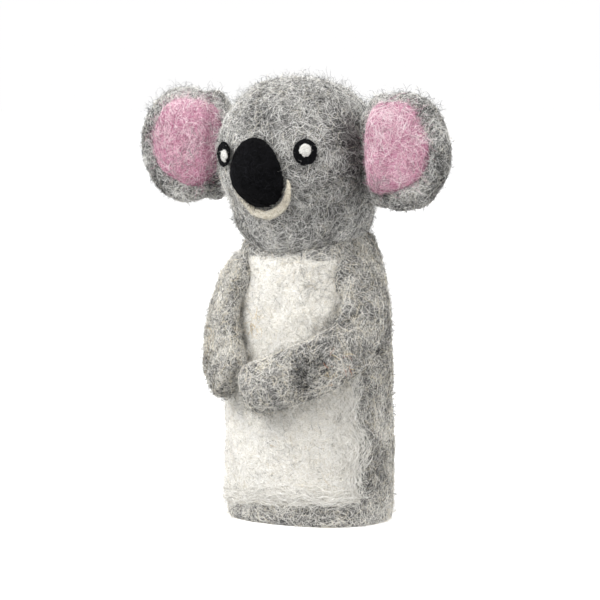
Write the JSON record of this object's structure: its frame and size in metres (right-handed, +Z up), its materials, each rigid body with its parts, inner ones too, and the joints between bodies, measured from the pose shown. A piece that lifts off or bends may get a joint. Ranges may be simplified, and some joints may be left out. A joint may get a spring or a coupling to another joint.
{
  "type": "finger puppet",
  "caption": "Standing felted wool koala finger puppet: a hollow sleeve body with a turning, nodding head, bending ears and arms folded over a cream belly.",
  "frame": {"origin": "centre of the puppet's footprint box, on the surface it stands on", "axes": "+Z up through the head, the koala faces -Y, its own left side is +X"},
  "size_m": [0.0852, 0.0433, 0.1043],
  "materials": {
    "sleeve_wool": "fuzzy mottled grey needle-felted wool",
    "belly_wool": "fuzzy cream needle-felted wool",
    "neck_wool": "dense grey needle-felted wool",
    "head_wool": "fuzzy mottled grey needle-felted wool",
    "nose_wool": "smooth dense black felt",
    "mouth_wool": "cream wool roving",
    "eye_wool": "dense black felt",
    "highlight_wool": "white felt dot",
    "ear_wool": "fuzzy mottled grey needle-felted wool",
    "inner_ear_wool": "fuzzy pink needle-felted wool",
    "arm_wool": "fuzzy mottled grey needle-felted wool"
  },
  "bodies": {
    "body": {"body_sleeve": "sleeve_wool", "belly_patch": "belly_wool"},
    "neck": {"neck": "neck_wool"},
    "head": {"head": "head_wool", "nose": "nose_wool", "mouth": "mouth_wool", "left_eye": "eye_wool", "right_eye": "eye_wool", "left_eye_highlight": "highlight_wool", "right_eye_highlight": "highlight_wool"},
    "left_ear": {"left_ear": "ear_wool", "left_inner_ear": "inner_ear_wool"},
    "right_ear": {"right_ear": "ear_wool", "right_inner_ear": "inner_ear_wool"},
    "left_arm": {"left_arm": "arm_wool"},
    "right_arm": {"right_arm": "arm_wool"}
  },
  "joints": [
    {"name": "head_turn", "type": "hinge", "parent": "body", "child": "neck", "pos_m": [0, 0.0032, 0.077], "axis": [0, 0, 1], "range_deg": [-30, 30], "stiffness_Nm_per_rad": 0.06},
    {"name": "head_nod", "type": "hinge", "parent": "neck", "child": "head", "pos_m": [0, 0.0032, 0.077], "axis": [1, 0, 0], "range_deg": [-15, 20], "stiffness_Nm_per_rad": 0.1},
    {"name": "left_ear_bend", "type": "hinge", "parent": "head", "child": "left_ear", "pos_m": [0.0238, -0.0011, 0.0873], "axis": [0, 0, 1], "range_deg": [-20, 20], "stiffness_Nm_per_rad": 0.01},
    {"name": "right_ear_bend", "type": "hinge", "parent": "head", "child": "right_ear", "pos_m": [-0.0238, -0.0011, 0.0879], "axis": [0, 0, -1], "range_deg": [-20, 20], "stiffness_Nm_per_rad": 0.01},
    {"name": "left_arm_lift", "type": "hinge", "parent": "body", "child": "left_arm", "pos_m": [0.01712, -0.00172, 0.061], "axis": [-0.4421, -0.897, 0], "range_deg": [0, 40], "stiffness_Nm_per_rad": 0.02},
    {"name": "right_arm_lift", "type": "hinge", "parent": "body", "child": "right_arm", "pos_m": [-0.01209, -0.00731, 0.061], "axis": [-0.8392, 0.5438, 0], "range_deg": [0, 40], "stiffness_Nm_per_rad": 0.02}
  ]
}
